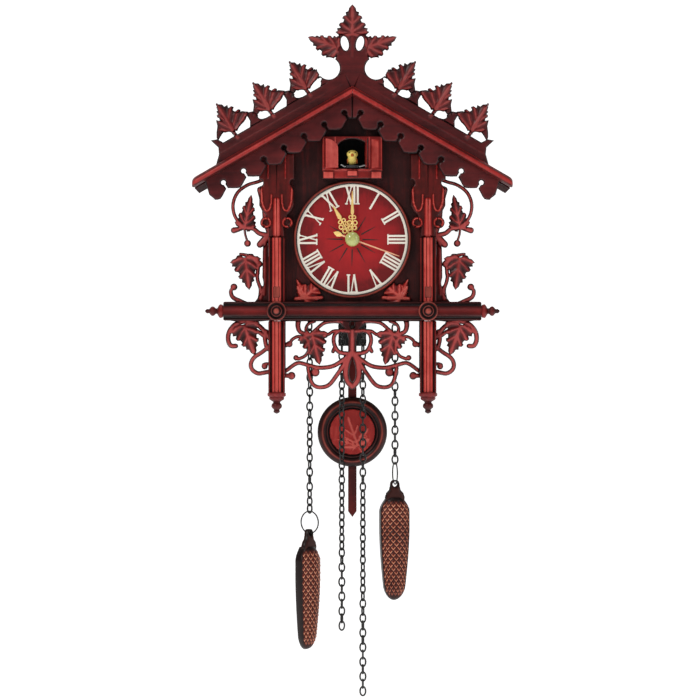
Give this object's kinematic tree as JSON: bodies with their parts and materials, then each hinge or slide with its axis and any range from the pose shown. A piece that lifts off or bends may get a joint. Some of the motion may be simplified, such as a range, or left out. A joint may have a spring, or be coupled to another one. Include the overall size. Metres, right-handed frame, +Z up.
{
  "type": "cuckoo clock",
  "caption": "Chalet cuckoo clock with carved vine leaf frets, twin doors and bird, cream numerals, pendulum and pine cone weights on chains",
  "frame": {"origin": "The point where the wall nail bears at the top of the keyhole slot, in the rear plane of the back panel.", "axes": "+Z up, the front faces -Y, +X to the right seen from the front; the wall plane is y = 0."},
  "size_m": [0.27, 0.1056, 0.5868],
  "materials": {
    "mahogany": "stained mahogany red with dark patina in the recesses, satin lacquer",
    "red_wood": "stained red mahogany, rubbed bright on the edges, satin lacquer",
    "dark_wood": "black-brown stain, satin lacquer",
    "plywood": "raw pressed board",
    "dial_red": "sprayed crimson, satin",
    "cream": "cream, satin",
    "gilt": "yellow ochre, moulded",
    "bird_paint": "painted yellow",
    "steel_wire": "drawn steel wire",
    "black_plastic": "moulded black",
    "white_plastic": "moulded natural white",
    "battery_skin": "printed sleeve, no marks",
    "burnished_metal": "blackened steel, rubbed on the edges",
    "cone_wood": "orange-brown with dark recesses"
  },
  "bodies": {
    "case": {"back_panel": "plywood", "case_side_left": "mahogany", "case_side_right": "mahogany", "case_floor": "plywood", "front_board": "mahogany", "roof_board_left": "mahogany", "roof_board_right": "mahogany", "crest_board": "mahogany", "fascia_left": "red_wood", "fascia_right": "red_wood", "fringe_left": "mahogany", "fringe_right": "mahogany", "post_left": "red_wood", "post_right": "red_wood", "capital_left": "red_wood", "capital_right": "red_wood", "cross_bar": "red_wood", "boss_left": "dark_wood", "boss_right": "dark_wood", "upper_fret_left": "mahogany", "upper_fret_right": "mahogany", "lower_fret_left": "mahogany", "lower_fret_right": "mahogany", "bottom_fret": "mahogany", "corner_leaf_left": "red_wood", "corner_leaf_right": "red_wood", "dial_rim": "dark_wood", "dial_plate": "dial_red", "chapter_ring": "cream", "bird_house": "red_wood", "movement_case": "black_plastic", "movement_cover": "black_plastic", "battery": "battery_skin", "cuckoo_drive": "black_plastic", "speaker": "black_plastic", "pendulum_drive": "black_plastic"},
    "minute_work": {"minute_hand": "gilt", "minute_wheel": "white_plastic"},
    "hour_work": {"hour_hand": "gilt", "hour_wheel": "white_plastic"},
    "second_work": {"second_hand": "gilt", "second_wheel": "white_plastic"},
    "bird_carriage": {"bird": "bird_paint", "bird_arm": "black_plastic", "door_wire_left": "steel_wire", "door_wire_right": "steel_wire"},
    "left_door": {"door_left": "red_wood"},
    "right_door": {"door_right": "red_wood"},
    "pendulum": {"pendulum_rod": "red_wood", "pendulum_bob": "dark_wood"},
    "left_weight_run": {"weight_chain_left": "burnished_metal"},
    "left_free_run": {"free_chain_left": "burnished_metal"},
    "left_wheel": {"chain_wheel_left": "black_plastic"},
    "left_weight": {"weight_ring_left": "burnished_metal", "weight_left": "cone_wood"},
    "right_weight_run": {"weight_chain_right": "burnished_metal"},
    "right_free_run": {"free_chain_right": "burnished_metal"},
    "right_wheel": {"chain_wheel_right": "black_plastic"},
    "right_weight": {"weight_ring_right": "burnished_metal", "weight_right": "cone_wood"}
  },
  "joints": [
    {"name": "minute_hand_turn", "type": "hinge", "parent": "case", "child": "minute_work", "pos_m": [0, -0.08, -0.0963], "axis": [0, 1, 0], "continuous": true},
    {"name": "hour_hand_turn", "type": "hinge", "parent": "case", "child": "hour_work", "pos_m": [0, -0.08, -0.0963], "axis": [0, 1, 0], "continuous": true},
    {"name": "second_hand_turn", "type": "hinge", "parent": "case", "child": "second_work", "pos_m": [0, -0.08, -0.0963], "axis": [0, 1, 0], "continuous": true},
    {"name": "bird_slide", "type": "slide", "parent": "case", "child": "bird_carriage", "axis": [0, 1, 0], "range_m": [0, 0.026]},
    {"name": "door_left_swing", "type": "hinge", "parent": "case", "child": "left_door", "pos_m": [-0.013, -0.0897, -0.024], "axis": [0, 0, 1], "range_deg": [0, 148]},
    {"name": "door_right_swing", "type": "hinge", "parent": "case", "child": "right_door", "pos_m": [0.013, -0.0897, -0.024], "axis": [0, 0, 1], "range_deg": [-96, 0]},
    {"name": "pendulum_swing", "type": "hinge", "parent": "case", "child": "pendulum", "pos_m": [0, -0.0242, -0.17], "axis": [0, 1, 0], "range_deg": [-6, 6]},
    {"name": "left_chain_pull", "type": "slide", "parent": "case", "child": "left_weight_run", "axis": [0, 0, 1], "range_m": [-0.03, 0.06]},
    {"name": "left_free_chain", "type": "slide", "parent": "case", "child": "left_free_run", "axis": [0, 0, 1], "range_m": [-0.061, 0.031]},
    {"name": "left_chain_wheel_turn", "type": "hinge", "parent": "case", "child": "left_wheel", "pos_m": [-0.02275, -0.049, -0.138], "axis": [0, 1, 0], "range_deg": [-130, 256]},
    {"name": "left_weight_twist", "type": "hinge", "parent": "left_weight_run", "child": "left_weight", "pos_m": [-0.0365, -0.049, -0.338], "axis": [0, 0, 1], "range_deg": [-170, 170]},
    {"name": "right_chain_pull", "type": "slide", "parent": "case", "child": "right_weight_run", "axis": [0, 0, 1], "range_m": [-0.03, 0.06]},
    {"name": "right_free_chain", "type": "slide", "parent": "case", "child": "right_free_run", "axis": [0, 0, 1], "range_m": [-0.061, 0.031]},
    {"name": "right_chain_wheel_turn", "type": "hinge", "parent": "case", "child": "right_wheel", "pos_m": [0.02275, -0.049, -0.138], "axis": [0, 1, 0], "range_deg": [-256, 130]},
    {"name": "right_weight_twist", "type": "hinge", "parent": "right_weight_run", "child": "right_weight", "pos_m": [0.0365, -0.049, -0.29], "axis": [0, 0, 1], "range_deg": [-170, 170]}
  ],
  "couplings": [
    {"joint": "hour_hand_turn", "follows": "minute_hand_turn", "ratio": 0.083333},
    {"joint": "door_left_swing", "follows": "bird_slide", "rad_per_m": 99},
    {"joint": "door_right_swing", "follows": "bird_slide", "rad_per_m": -64},
    {"joint": "left_free_chain", "follows": "left_chain_pull", "ratio": -1},
    {"joint": "left_chain_wheel_turn", "follows": "left_chain_pull", "rad_per_m": 72.7},
    {"joint": "right_free_chain", "follows": "right_chain_pull", "ratio": -1},
    {"joint": "right_chain_wheel_turn", "follows": "right_chain_pull", "rad_per_m": -72.7}
  ]
}
